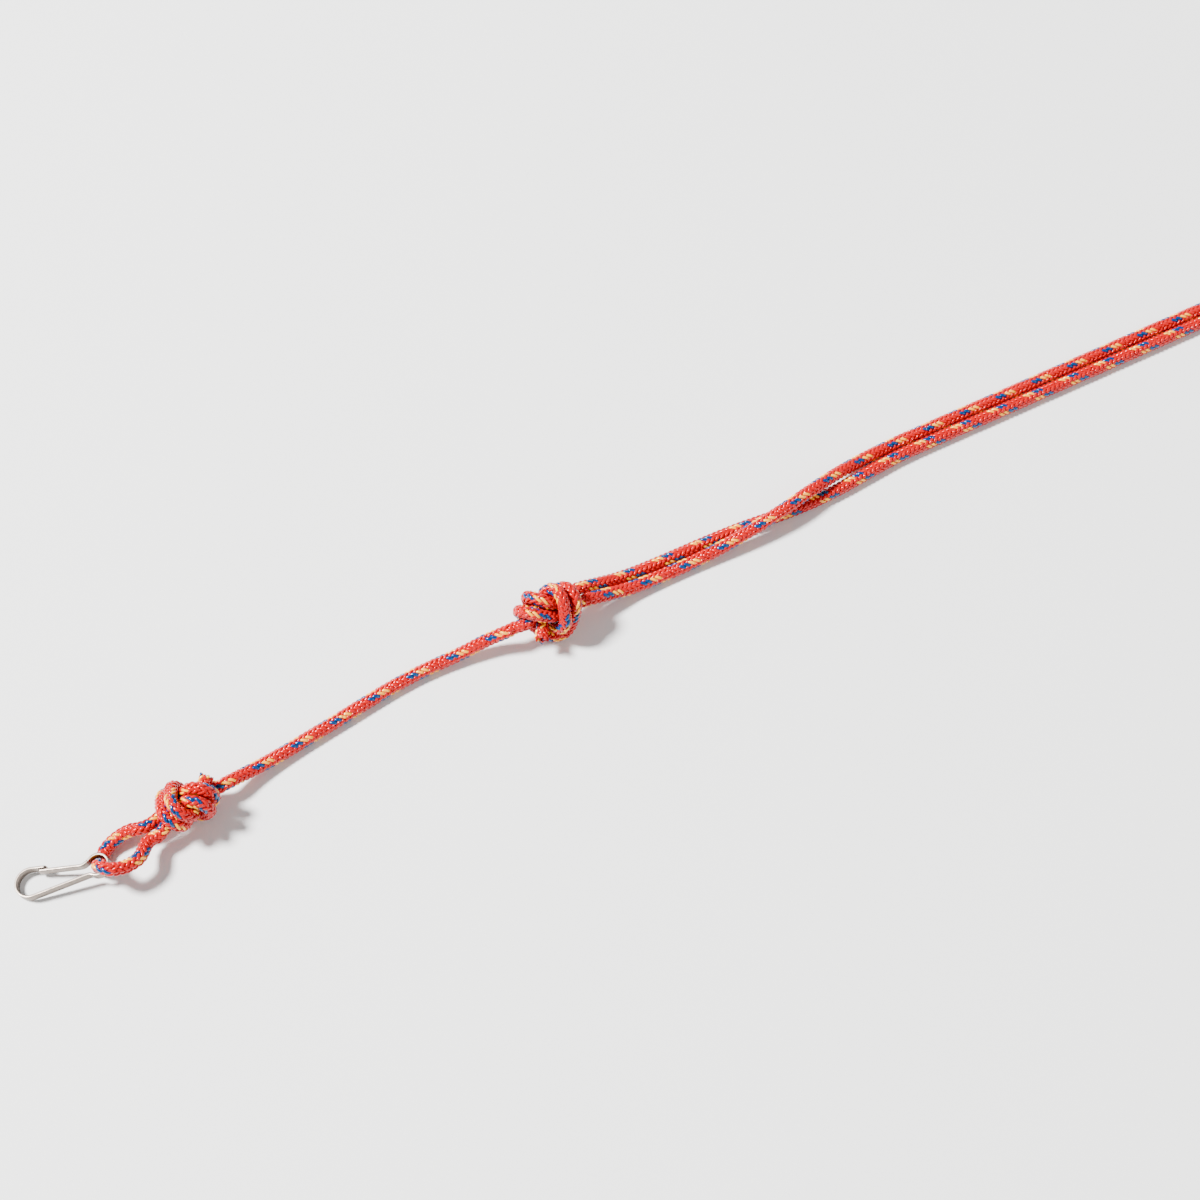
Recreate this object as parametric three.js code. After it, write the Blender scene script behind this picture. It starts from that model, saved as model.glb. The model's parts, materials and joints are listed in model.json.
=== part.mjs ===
// A cord lead rope: a spring clip on a small knotted loop, a single lead cord, and a long hand loop.
// Millimetres, +Z up, the cord lying on the plane Z = 0, the clip towards -X, the hand loop towards +X.
// The whole rope is one braided cord (a hollow cover round a core), cut here into short rigid
// lengths that hinge on each other. Each group sits at its own hinge.
import * as THREE from 'three';

// Cord
const CORD_RADIUS = 2.5;
const COVER_BORE = 1.7;
const CORE_RADIUS = 1.25;
const COVER_SIDES = 8;
const CORE_SIDES = 6;
const KNOT_CORD_RADIUS = 2.3; // the cord is squeezed inside a tight knot
const CORD_GAP = 0.3;
const PAIR_SPACING = 2 * CORD_RADIUS + CORD_GAP;
const KNOT_SPACING = 2 * KNOT_CORD_RADIUS + CORD_GAP;
const HINGE_GAP = 0.15;

// Lay-out, measured from under the middle of the junction knot
const KNOT_REACH = 14;
const JUNCTION_KNOT = new THREE.Vector3(0, -1.4, 0);
const KNOT_DROP = 5; // the cords leave a knot this far under its middle
const CLIP_KNOT = new THREE.Vector3(-140.7, -3.7, 0);
const CLIP_LOOP_SHIFT = -3.5; // the small loop leaves its knot to one side
const LEAD_SEGMENTS = 6;
const LEAD_POINTS = 18;
const LEAD_SWAY = [[-22, 0.6], [-50, 3.2], [-82, 0.9], [-112, -2]];
const SINK_LENGTH = 6; // how quickly a cord comes down from a knot to the floor
const NECK_HINGE_X = 55;
const NECK_STEP_X = 90; // from here on the neck steps over to the line of the legs
const CROSSING_X = [50, 150];
const LEGS_START = new THREE.Vector3(152, -3.1, CORD_RADIUS);
const LEG_SLOPE = THREE.MathUtils.degToRad(-3.2);
const LEG_SEGMENTS = 4;
const LEG_LENGTH = 34.5;
const BIGHT_LENGTH = 25;
const BIGHT_HALF_WIDTH = 8;
const BIGHT_SHOULDER = 5.8;
const BIGHT_SHAPE = [ // half of the bight: distance past the legs, distance from its middle line
  [0, PAIR_SPACING / 2],
  [5, PAIR_SPACING / 2 + 0.6],
  [11, BIGHT_SHOULDER],
  [18, BIGHT_HALF_WIDTH],
  [23.5, BIGHT_SHOULDER],
  [BIGHT_LENGTH, CORD_RADIUS],
  [BIGHT_LENGTH, CORD_GAP / 2],
];

// Hinge limits, in degrees; each hinge leaves room for its own
const LEAD_BEND = 40;
const NECK_BEND = 30;
const NECK_SPARE = 6; // room for this more, since the neck isn't quite level beside the knot
const LOOP_OPENING = 60;
const LEG_BEND = (LOOP_OPENING * 2) / 3;
const CLIP_LOOP_LIFT = 40;
const LEAD_TWIST = 90;
const CLIP_SWING = 60;
const GATE_OPENING = 14;

// Spring clip, bent from one flat strip that stands on its edge
const STRIP_WIDTH = 3.2;
const STRIP_THICKNESS = 0.8;
const EYE_RADIUS = 3.7;
const EYE_ENDS = [-Math.PI + 0.75, Math.PI - 0.62]; // where the back and the gate leave the round eye
const EYE_CENTRE = new THREE.Vector3(-174.7, -9.3, 6.3);
const CLIP_HEADING = THREE.MathUtils.degToRad(-18);
const CLIP_PITCH = THREE.MathUtils.degToRad(9.5);
const HOOK_CENTRE_X = -23.3;
const HOOK_RADIUS = 5;
const ARM_SLOPE = THREE.MathUtils.degToRad(9);
const LIP_LENGTH = 5.3;
const GATE_TIP_X = -20.3;
const GATE_HINGE_X = -5.2;
const CORD_IN_EYE = 2.15; // cord radius where the eye squeezes it
const CORD_THROUGH_EYE = new THREE.Vector3(-0.1, -0.3, 0.95).normalize(); // its way through

const COLOURS = {
  cover: new THREE.Color(0.82, 0.06, 0.06),
  core: new THREE.Color(0.88, 0.86, 0.8),
  steel: new THREE.Color(0.78, 0.75, 0.72),
};

function material(kind) {
  const metal = kind === 'steel';
  return new THREE.MeshStandardMaterial({
    color: COLOURS[kind],
    roughness: metal ? 0.3 : 0.55,
    metalness: metal ? 1 : 0,
  });
}

const leadRope = new THREE.Group();

// A group placed at its hinge. Its meshes are given in the rope's frame and shifted by the hinge.
function body(name, hinge, parent = leadRope) {
  const group = new THREE.Group();
  group.name = name;
  group.position.copy(hinge);
  parent.add(group);
  return group;
}

function addPiece(group, name, geometry, kind) {
  const mesh = new THREE.Mesh(geometry.translate(-group.position.x, -group.position.y, -group.position.z),
    material(kind));
  mesh.name = name;
  group.add(mesh);
  return mesh;
}

// ---- Cord pieces ----

function polygon(Type, radius, sides) {
  const outline = new Type();
  for (let k = 0; k < sides; k += 1) {
    const angle = (2 * Math.PI * k) / sides;
    const place = k === 0 ? 'moveTo' : 'lineTo';
    outline[place](radius * Math.cos(angle), radius * Math.sin(angle));
  }
  outline.closePath();
  return outline;
}

function tube(curve, radius, sides, steps, bore) {
  const section = polygon(THREE.Shape, radius, sides);
  if (bore) section.holes.push(polygon(THREE.Path, bore, sides));
  return new THREE.ExtrudeGeometry(section, { steps, extrudePath: curve, bevelEnabled: false });
}

// The stretch of a curve left after cutting a length off each end.
function trimmed(curve, cutStart, cutEnd, spacing = 1) {
  const length = curve.getLength();
  const kept = length - cutStart - cutEnd;
  const count = Math.max(2, Math.ceil(kept / spacing));
  const points = [];
  for (let k = 0; k <= count; k += 1) {
    points.push(curve.getPointAt((cutStart + (kept * k) / count) / length));
  }
  return new THREE.CatmullRomCurve3(points);
}

// How far a square-cut end stays back from its hinge so that it clears its neighbour at full bend.
function hingeCut(bendDegrees, halfWidth = CORD_RADIUS) {
  return halfWidth * Math.tan(THREE.MathUtils.degToRad(bendDegrees / 2)) + HINGE_GAP;
}

function addCord(group, name, curve, { cuts = [0, 0], ring = 6, radius = CORD_RADIUS } = {}) {
  const path = trimmed(curve, cuts[0], cuts[1]);
  const steps = Math.max(1, Math.round(path.getLength() / ring));
  const scale = radius / CORD_RADIUS;
  const cover = tube(path, radius, COVER_SIDES, steps, COVER_BORE * scale);
  const core = tube(path, CORE_RADIUS * scale, CORE_SIDES, steps);
  addPiece(group, `${name}_cover`, cover, 'cover');
  addPiece(group, `${name}_core`, core, 'core');
}

function smooth(points) {
  return new THREE.CatmullRomCurve3(points, false, 'centripetal');
}

// ---- Knots ----

const LINK = 2; // spacing of the points that a strand is made of while the knot is tied
const BEND_LIMIT = 0.93; // shortest distance over two links, as a part of its straight length
const SLACK_LOOP = 11;
const SLACK_LIFT = 7;
const KNOT_RING = 2.3;
const JUNCTION_ROLL = THREE.MathUtils.degToRad(250);
const CLIP_KNOT_ROLL = 0;
const TIE_REACH = 20;
const TIE_ROUNDS = 16000;
const SETTLE_ROUNDS = 1500;
const EASE_ROUNDS = 400;
const TIE_DRIFT = 0.02; // part of the way to its line that a pulled end moves in a round
const SETTLE_DRIFT = 0.2;

// One turn of a slack overhand knot: three crossings seen from +Z, over and under in turn.
function overhand(angle) {
  return new THREE.Vector3(
    SLACK_LOOP * (Math.sin(angle) + 2 * Math.sin(2 * angle)),
    SLACK_LOOP * (Math.cos(angle) - 2 * Math.cos(2 * angle)),
    -SLACK_LIFT * Math.sin(3 * angle),
  );
}

// A slack strand, half a spacing to one side of the overhand curve, as a list of points.
function slackStrand(side) {
  const sweep = Math.PI - 0.35;
  const turns = 60;
  const path = [new THREE.Vector3(70, -55, 0), new THREE.Vector3(30, -50, 0)];
  for (let k = 0; k <= turns; k += 1) path.push(overhand(-sweep + (2 * sweep * k) / turns));
  path.push(new THREE.Vector3(-30, -50, 0), new THREE.Vector3(-70, -55, 0));
  const curve = smooth(path);
  const count = Math.round(curve.getLength() / LINK);
  return Array.from({ length: count + 1 }, (_, k) => {
    const tangent = curve.getTangentAt(k / count);
    const across = new THREE.Vector3(-tangent.y, tangent.x, 0).normalize();
    return curve.getPointAt(k / count).addScaledVector(across, (side * KNOT_SPACING) / 2);
  });
}

function pushApart(a, b, distance, wanted) {
  const shift = b.clone().sub(a).multiplyScalar((distance - wanted) / distance / 2);
  a.add(shift);
  b.sub(shift);
}

// Keeps the links at their length and the bends open.
function holdStrand(points) {
  for (let k = 0; k + 1 < points.length; k += 1) {
    pushApart(points[k], points[k + 1], points[k].distanceTo(points[k + 1]), LINK);
  }
  const shortest = 2 * LINK * BEND_LIMIT;
  for (let k = 0; k + 2 < points.length; k += 1) {
    const distance = points[k].distanceTo(points[k + 2]);
    if (distance < shortest) pushApart(points[k], points[k + 2], distance, shortest);
  }
}

// Keeps two strands, or two turns of one strand, a cord's thickness apart.
function keepClear(first, second) {
  const same = first === second;
  const skip = Math.ceil((KNOT_SPACING * 1.5) / LINK);
  for (let i = 0; i < first.length; i += 1) {
    const a = first[i];
    for (let j = same ? i + skip : 0; j < second.length; j += 1) {
      const b = second[j];
      if (Math.abs(a.x - b.x) < KNOT_SPACING && Math.abs(a.y - b.y) < KNOT_SPACING) {
        const distance = a.distanceTo(b);
        if (distance < KNOT_SPACING) pushApart(a, b, distance, KNOT_SPACING);
      }
    }
  }
}

// Pulls one end along its own line, and lets rope past the end's reach go.
function pullEnd(points, atStart, end, drift) {
  const step = 0.2;
  const tip = atStart ? points[0] : points[points.length - 1];
  const next = atStart ? points[1] : points[points.length - 2];
  tip.addScaledVector(end.along, step);
  for (const point of [tip, next]) {
    const ahead = point.clone().sub(end.through).dot(end.along);
    const onLine = end.through.clone().addScaledVector(end.along, ahead);
    point.lerp(onLine, drift);
  }
  if (tip.clone().sub(end.through).dot(end.along) > end.reach + LINK) {
    if (atStart) points.shift();
    else points.pop();
  }
}

// Pulls both strands for a number of rounds. Each strand's ends are its +X end, then its -X end.
function pullKnot(strands, strandEnds, rounds, drift) {
  const passes = 4;
  for (let round = 0; round < rounds; round += 1) {
    strands.forEach((points, s) => {
      pullEnd(points, true, strandEnds[s][0], drift);
      pullEnd(points, false, strandEnds[s][1], drift);
    });
    for (let pass = 0; pass < passes; pass += 1) keepAllClear(strands);
  }
}

// A cord end: the line it is pulled along, and how far along that line the cord goes. A cut end
// is only trimmed there; any other end finishes exactly on its line, where the next length starts.
function cordEnd(through, along, reach, isCut = false) {
  return { through, along: along.clone().normalize(), reach, isCut };
}

// Two parallel strands pulled tight into one overhand knot about the X axis, then mirrored to
// the hand that this rope is tied with.
function tieOverhand() {
  const strands = [slackStrand(1), slackStrand(-1)];
  const ends = [1, -1].map((side) => [1, -1].map((way) => cordEnd(
    new THREE.Vector3(0, (side * KNOT_SPACING) / 2, 0),
    new THREE.Vector3(way, 0, 0),
    TIE_REACH,
  )));
  pullKnot(strands, ends, TIE_ROUNDS, TIE_DRIFT);
  const mirrored = ({ x, y, z }) => new THREE.Vector3(x, -y, z);
  return strands.reverse().map((points) => points.map(mirrored));
}

// A copy of the tight knot, rolled about X, pulled to its own ends and centred between them.
function settledKnot(tight, roll, strandEnds) {
  const axis = new THREE.Vector3(1, 0, 0);
  const strands = tight.map((points) => points.map((point) => point.clone().applyAxisAngle(axis, roll)));
  const spare = TIE_REACH - KNOT_REACH;
  const longEnds = strandEnds.map((ends) => ends.map((end) => ({ ...end, reach: end.reach + spare })));
  pullKnot(strands, longEnds, SETTLE_ROUNDS, SETTLE_DRIFT);
  const turns = strands.flat().filter((point) => Math.hypot(point.y, point.z + KNOT_DROP) > KNOT_SPACING);
  const middle = turns.reduce((sum, point) => sum + point.x, 0) / turns.length;
  for (const point of strands.flat()) point.x -= middle;
  const finished = strands.map((points, s) => finishStrand(points, strandEnds[s]));
  easeStrands(finished, EASE_ROUNDS);
  return finished;
}

// Clears what the trimming left too close, with the last two points of every end held still.
function easeStrands(strands, passes) {
  const held = strands.flatMap((points) => [...points.slice(0, 2), ...points.slice(-2)]);
  const places = held.map((point) => point.clone());
  for (let pass = 0; pass < passes; pass += 1) {
    keepAllClear(strands);
    held.forEach((point, k) => point.copy(places[k]));
  }
}

function keepAllClear(strands) {
  strands.forEach(holdStrand);
  keepClear(strands[0], strands[0]);
  keepClear(strands[0], strands[1]);
  keepClear(strands[1], strands[1]);
}

// Trims both ends of a tied strand and sets the joined ones exactly on their lines.
function finishStrand(points, [startEnd, lastEnd]) {
  const exact = (end, back) => end.through.clone().addScaledVector(end.along, end.reach - back);
  const exactPair = (end) => (end.isCut ? [] : [exact(end, 0), exact(end, LINK)]);
  const beyond = (point, end) => {
    const margin = end.isCut ? 0 : 1.5 * LINK;
    return point.clone().sub(end.through).dot(end.along) > end.reach - margin;
  };
  let first = 0;
  let last = points.length - 1;
  while (beyond(points[first], startEnd)) first += 1;
  while (beyond(points[last], lastEnd)) last -= 1;
  return [...exactPair(startEnd), ...points.slice(first, last + 1), ...exactPair(lastEnd).reverse()];
}

// ---- Clip ----

// A solid strip: a line in the clip's plane, given half the strip's thickness on both sides.
function strip(line) {
  const half = STRIP_THICKNESS / 2;
  const side = (sign) => line.map((point, k) => {
    const before = line[Math.max(0, k - 1)];
    const after = line[Math.min(line.length - 1, k + 1)];
    const along = after.clone().sub(before).normalize();
    return new THREE.Vector2(point.x - sign * half * along.y, point.y + sign * half * along.x);
  });
  const shape = new THREE.Shape([...side(1), ...side(-1).reverse()]);
  return new THREE.ExtrudeGeometry(shape, { depth: STRIP_WIDTH, bevelEnabled: false })
    .translate(0, 0, -STRIP_WIDTH / 2);
}

function arcPoints(centreX, radius, from, to, count) {
  return Array.from({ length: count + 1 }, (_, k) => {
    const angle = from + ((to - from) * k) / count;
    return new THREE.Vector2(centreX + radius * Math.cos(angle), radius * Math.sin(angle));
  });
}

// Height of the lip's middle line above the clip's axis.
function lipY(x) {
  const topX = HOOK_CENTRE_X + HOOK_RADIUS * Math.sin(ARM_SLOPE);
  return HOOK_RADIUS * Math.cos(ARM_SLOPE) - (x - topX) * Math.tan(ARM_SLOPE);
}

// Lip, hook bend, straight back and the eye that ends at the gate's hinge.
function clipFrameLine() {
  const lipStart = HOOK_CENTRE_X + HOOK_RADIUS * Math.sin(ARM_SLOPE);
  const lipEnd = lipStart + LIP_LENGTH;
  const hookEnds = [Math.PI / 2 - ARM_SLOPE, (3 * Math.PI) / 2 + ARM_SLOPE];
  const hook = arcPoints(HOOK_CENTRE_X, HOOK_RADIUS, ...hookEnds, 16);
  const eye = arcPoints(0, EYE_RADIUS, ...EYE_ENDS, 20);
  const gateEnd = new THREE.Vector2(GATE_HINGE_X + CORD_GAP, gateY(GATE_HINGE_X));
  return [new THREE.Vector2(lipEnd, lipY(lipEnd)), ...hook, ...eye, gateEnd];
}

function gateY(x) {
  return lipY(x) - STRIP_THICKNESS - CORD_GAP;
}

function addClip() {
  const clip = body('clip', EYE_CENTRE);
  clip.rotation.set(0, -CLIP_PITCH, CLIP_HEADING, 'ZYX');
  hinge(clip, 'clip_swing', CORD_THROUGH_EYE, bendLimits(CLIP_SWING));
  const frame = new THREE.Mesh(strip(clipFrameLine()), material('steel'));
  frame.name = 'clip_frame';
  clip.add(frame);
  const gate = new THREE.Group();
  gate.name = 'gate';
  gate.position.set(GATE_HINGE_X, gateY(GATE_HINGE_X), 0);
  hinge(gate, 'gate_open', UP, [0, GATE_OPENING]);
  gate.userData.frame = 'own';
  clip.add(gate);
  const gateLine = [GATE_TIP_X, GATE_HINGE_X]
    .map((x) => new THREE.Vector2(x - GATE_HINGE_X, gateY(x) - gate.position.y));
  const arm = new THREE.Mesh(strip(gateLine), material('steel'));
  arm.name = 'clip_gate';
  gate.add(arm);
}

// ---- Rope lay-out ----

const tightKnot = tieOverhand();

// Cord passes both ways out of a knot along X: a pair on the loop side, one cord on the lead side.
function knotEnds(loopWay, standing, tail, loopShift = 0) {
  const offset = PAIR_SPACING / 2;
  const pair = [1, -1].map((side) => cordEnd(
    new THREE.Vector3(0, loopShift + side * offset, -KNOT_DROP),
    new THREE.Vector3(loopWay, 0, 0),
    KNOT_REACH,
  ));
  const lead = cordEnd(new THREE.Vector3(0, 0, -KNOT_DROP), new THREE.Vector3(-loopWay, 0, 0), KNOT_REACH);
  const others = standing === 0 ? [lead, tail] : [tail, lead];
  return pair.map((end, s) => (loopWay > 0 ? [end, others[s]] : [others[s], end]));
}

// Moves a knot's strands so that the knot rests on the floor at its place.
function placedKnot(strands, place) {
  const lowest = Math.min(...strands.flat().map((point) => point.z));
  const lift = KNOT_CORD_RADIUS - lowest;
  const shift = new THREE.Vector3(place.x, place.y, lift);
  return { strands: strands.map((points) => points.map((point) => point.clone().add(shift))), lift };
}

// A straight hinge record for a group: the hinge line's direction and its limits in degrees.
function hinge(group, name, axis, limits, couple) {
  Object.assign(group.userData, { joint: name, axis: axis.toArray(), limits, couple });
}

const UP = new THREE.Vector3(0, 0, 1);
const ACROSS = new THREE.Vector3(0, 1, 0);
const bendLimits = (degrees) => [-degrees, degrees];

function addJunctionKnot() {
  const tail = cordEnd(new THREE.Vector3(-4.5, -6, -4), new THREE.Vector3(-0.4, -0.9, -0.1), 5, true);
  const knot = placedKnot(settledKnot(tightKnot, JUNCTION_ROLL, knotEnds(1, 1, tail)), JUNCTION_KNOT);
  const group = body('junction_knot', JUNCTION_KNOT);
  const [returnStrand, leadStrand] = knot.strands.map(smooth);
  const legCut = hingeCut(NECK_BEND + NECK_SPARE);
  const leadCut = hingeCut(LEAD_BEND, KNOT_CORD_RADIUS);
  const look = { ring: KNOT_RING, radius: KNOT_CORD_RADIUS };
  addCord(group, 'junction_tail', returnStrand, { ...look, cuts: [legCut, 0] });
  addCord(group, 'junction_lead', leadStrand, { ...look, cuts: [legCut, leadCut] });
  return knot.lift - KNOT_DROP;
}

function addClipKnot() {
  const tail = cordEnd(new THREE.Vector3(6, 5.5, 0), new THREE.Vector3(1, 0.05, 0.1), 4.5, true);
  const ends = knotEnds(-1, 0, tail, CLIP_LOOP_SHIFT);
  const knot = placedKnot(settledKnot(tightKnot, CLIP_KNOT_ROLL, ends), CLIP_KNOT);
  const hingeAt = new THREE.Vector3(CLIP_KNOT.x + KNOT_REACH, CLIP_KNOT.y, knot.lift - KNOT_DROP);
  const group = body('clip_knot', hingeAt);
  hinge(group, 'clip_knot_bend', UP, bendLimits(LEAD_BEND));
  const [leadStrand, tailStrand] = knot.strands.map(smooth);
  const loopCut = hingeCut(CLIP_LOOP_LIFT, KNOT_CORD_RADIUS);
  const leadCut = hingeCut(LEAD_BEND, KNOT_CORD_RADIUS);
  const look = { ring: KNOT_RING, radius: KNOT_CORD_RADIUS };
  addCord(group, 'clip_knot_lead', leadStrand, { ...look, cuts: [leadCut, loopCut] });
  addCord(group, 'clip_knot_tail', tailStrand, { ...look, cuts: [0, loopCut] });
  return knot.lift - KNOT_DROP;
}

// Six short lengths whose hinges bend sideways, bend upright and twist in turn.
function addLead(junctionZ, clipKnotZ) {
  const start = new THREE.Vector3(-KNOT_REACH, JUNCTION_KNOT.y, junctionZ);
  const end = new THREE.Vector3(CLIP_KNOT.x + KNOT_REACH, CLIP_KNOT.y, clipKnotZ);
  const sway = smooth([start, ...LEAD_SWAY.map(([x, y]) => new THREE.Vector3(x, y, 0)), end]);
  const between = sway.getSpacedPoints(LEAD_POINTS).slice(1, -1)
    .map(({ x, y }) => new THREE.Vector3(x, y, leadHeight(x, junctionZ, clipKnotZ)));
  const lead = new THREE.Vector3(-2, 0, 0);
  const curve = smooth([start, start.clone().add(lead), ...between, end.clone().sub(lead), end]);
  const length = curve.getLength();
  const motions = ['bend', 'lift', 'bend', 'twist', 'bend', 'lift'];
  const cut = hingeCut(LEAD_BEND);
  for (let k = 0; k < LEAD_SEGMENTS; k += 1) {
    const [from, to] = [k / LEAD_SEGMENTS, (k + 1) / LEAD_SEGMENTS];
    const group = body(`lead_${k + 1}`, curve.getPointAt(from));
    const tangent = curve.getTangentAt(from);
    const axis = { bend: UP, lift: ACROSS, twist: tangent }[motions[k]];
    const limit = motions[k] === 'twist' ? LEAD_TWIST : LEAD_BEND;
    hinge(group, `lead_${motions[k]}_${k + 1}`, axis, bendLimits(limit));
    const cuts = [from * length + cut, (1 - to) * length + cut];
    addCord(group, `lead_${k + 1}`, curve, { cuts, ring: 7 });
  }
}

// The lead sinks from each knot to the floor.
function leadHeight(x, junctionZ, clipKnotZ) {
  const nearJunction = sinking(-KNOT_REACH - x) * (junctionZ - CORD_RADIUS);
  const nearClipKnot = sinking(x - CLIP_KNOT.x - KNOT_REACH) * (clipKnotZ - CORD_RADIUS);
  return CORD_RADIUS + nearJunction + nearClipKnot;
}

// Falls from 1 to 0 with the distance from a knot, and starts level.
function sinking(distance) {
  const steps = distance / SINK_LENGTH;
  return (1 + steps) * Math.exp(-steps);
}

// The small loop: in low under the far side of the clip's eye, up through it and out over the near side.
function addClipLoop(knotZ) {
  const hingeAt = new THREE.Vector3(CLIP_KNOT.x - KNOT_REACH, CLIP_KNOT.y + CLIP_LOOP_SHIFT, knotZ);
  const group = body('clip_loop', hingeAt);
  hinge(group, 'clip_loop_lift', ACROSS, bendLimits(CLIP_LOOP_LIFT));
  const offset = PAIR_SPACING / 2;
  const fromKnot = (x, y, z) => hingeAt.clone().add(new THREE.Vector3(x, y, z));
  const fromEye = (x, y, z) => EYE_CENTRE.clone().add(new THREE.Vector3(x, y, z));
  const curve = smooth([
    fromKnot(0, offset, 0),
    fromKnot(-2, offset, 0),
    fromKnot(-5.5, 4.7, -1.7),
    fromEye(9.4, 7.3, -2.6),
    fromEye(4.2, 5.9, -4.1),
    fromEye(0.5, 1.5, -3.7),
    fromEye(-0.4, 0, 0),
    fromEye(0.2, -1.8, 3.8),
    fromEye(1.8, -5.5, 5.8),
    fromEye(6.5, -6.9, 4.6),
    fromEye(12.2, -5.9, 3.2),
    fromKnot(-4.5, -4.9, 0.8),
    fromKnot(-2, -offset, 0),
    fromKnot(0, -offset, 0),
  ]);
  const cut = hingeCut(CLIP_LOOP_LIFT, KNOT_CORD_RADIUS);
  addCord(group, 'clip_loop', curve, { cuts: [cut, cut], ring: 2.4, radius: CORD_IN_EYE });
}

// The two cords of the hand loop between the junction knot and the free legs. The one that starts
// on the near side climbs over the other and comes down on the far side.
function neckCurve(side, junctionZ) {
  const points = [];
  const count = 24;
  const end = LEGS_START.x;
  for (let k = 0; k <= count; k += 1) {
    const x = KNOT_REACH + ((end - KNOT_REACH) * k) / count;
    const turn = Math.PI * THREE.MathUtils.smoothstep(x, ...CROSSING_X);
    const middleY = neckMiddle(x);
    const sink = (junctionZ - CORD_RADIUS) * sinking(x - KNOT_REACH);
    const lift = side < 0 ? PAIR_SPACING * Math.sin(turn) : 0;
    const offset = (side * PAIR_SPACING * Math.cos(turn)) / 2;
    points.push(new THREE.Vector3(x, middleY + offset, CORD_RADIUS + sink + lift));
  }
  return smooth(points);
}

// The neck starts beside the line of the legs, runs along it and steps onto it past the crossing.
function neckMiddle(x) {
  const legLine = (at) => LEGS_START.y + Math.tan(LEG_SLOPE) * (at - LEGS_START.x);
  const aside = JUNCTION_KNOT.y - legLine(KNOT_REACH);
  return legLine(x) + aside * (1 - THREE.MathUtils.smoothstep(x, NECK_STEP_X, LEGS_START.x));
}

function addNeck(junctionZ) {
  const start = body('neck_start', new THREE.Vector3(KNOT_REACH, JUNCTION_KNOT.y, junctionZ));
  hinge(start, 'neck_lift', ACROSS, bendLimits(NECK_BEND));
  const middleAt = new THREE.Vector3(NECK_HINGE_X, neckMiddle(NECK_HINGE_X), CORD_RADIUS);
  const crossing = body('neck_crossing', middleAt);
  hinge(crossing, 'neck_bend', UP, bendLimits(NECK_BEND));
  const startCut = hingeCut(NECK_BEND + NECK_SPARE);
  const middleCut = hingeCut(NECK_BEND, PAIR_SPACING / 2 + CORD_RADIUS);
  const endCut = hingeCut(LOOP_OPENING);
  [['out', -1], ['back', 1]].forEach(([name, side]) => {
    const curve = neckCurve(side, junctionZ);
    const length = curve.getLength();
    const middle = lengthToX(curve, NECK_HINGE_X);
    const startCuts = [startCut, length - middle + middleCut];
    addCord(start, `neck_start_${name}`, curve, { cuts: startCuts, ring: 8 });
    addCord(crossing, `neck_crossing_${name}`, curve, { cuts: [middle + middleCut, endCut], ring: 8 });
  });
}

// How far along a curve it reaches a given X.
function lengthToX(curve, x) {
  const count = 400;
  const index = curve.getSpacedPoints(count).findIndex((point) => point.x >= x);
  return (index / count) * curve.getLength();
}

// One leg of the hand loop with its half of the far bight. side is +1 for the far leg.
function addLeg(name, side) {
  const along = new THREE.Vector3(Math.cos(LEG_SLOPE), Math.sin(LEG_SLOPE), 0);
  const across = new THREE.Vector3(-along.y, along.x, 0).multiplyScalar(side);
  const start = LEGS_START.clone().addScaledVector(across, PAIR_SPACING / 2);
  const cut = hingeCut(LOOP_OPENING);
  for (let k = 0; k < LEG_SEGMENTS; k += 1) {
    const from = start.clone().addScaledVector(along, k * LEG_LENGTH);
    const group = body(`${name}_${k + 1}`, from);
    const opening = k === 0 ? side : (-side * 2) / 3;
    hinge(group, `${name}_open_${k + 1}`, UP, loopLimits(opening), opening);
    const line = new THREE.LineCurve3(from, from.clone().addScaledVector(along, LEG_LENGTH));
    const nearCut = hingeCut(k === 0 ? LOOP_OPENING : LEG_BEND);
    const farCut = hingeCut(k === LEG_SEGMENTS - 1 ? LOOP_OPENING : LEG_BEND);
    addCord(group, `${name}_${k + 1}`, line, { cuts: [nearCut, farCut], ring: LEG_LENGTH });
  }
  const place = ([x, y]) => LEGS_START.clone()
    .addScaledVector(along, LEG_SEGMENTS * LEG_LENGTH + x).addScaledVector(across, y);
  const group = body(`${name}_bight`, place([0, PAIR_SPACING / 2]));
  hinge(group, `${name}_bight_turn`, UP, loopLimits(side), side);
  addCord(group, `${name}_bight`, smooth(BIGHT_SHAPE.map(place)), { cuts: [cut, 0], ring: 3 });
}

// Limits of a hinge that turns `ratio` degrees for each degree that the hand loop opens.
function loopLimits(ratio) {
  return [Math.min(0, ratio * LOOP_OPENING), Math.max(0, ratio * LOOP_OPENING)];
}

const junctionZ = addJunctionKnot();
const clipKnotZ = addClipKnot();
addLead(junctionZ, clipKnotZ);
addClipLoop(clipKnotZ);
addClip();
addNeck(junctionZ);
addLeg('far_leg', 1);
addLeg('near_leg', -1);

// The origin is under the middle of the whole rope, on the floor.
leadRope.updateMatrixWorld(true);
const extent = new THREE.Box3().setFromObject(leadRope, true);
const centre = extent.getCenter(new THREE.Vector3());
leadRope.position.set(-centre.x, -centre.y, -extent.min.z);

export default leadRope;
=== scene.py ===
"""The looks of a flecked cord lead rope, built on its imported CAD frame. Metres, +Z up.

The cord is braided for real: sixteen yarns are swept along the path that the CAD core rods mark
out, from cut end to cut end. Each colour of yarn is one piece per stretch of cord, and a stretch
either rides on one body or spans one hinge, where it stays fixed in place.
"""

import json
import math
import random

import bpy
import numpy as np
from mathutils import Matrix, Vector

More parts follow.
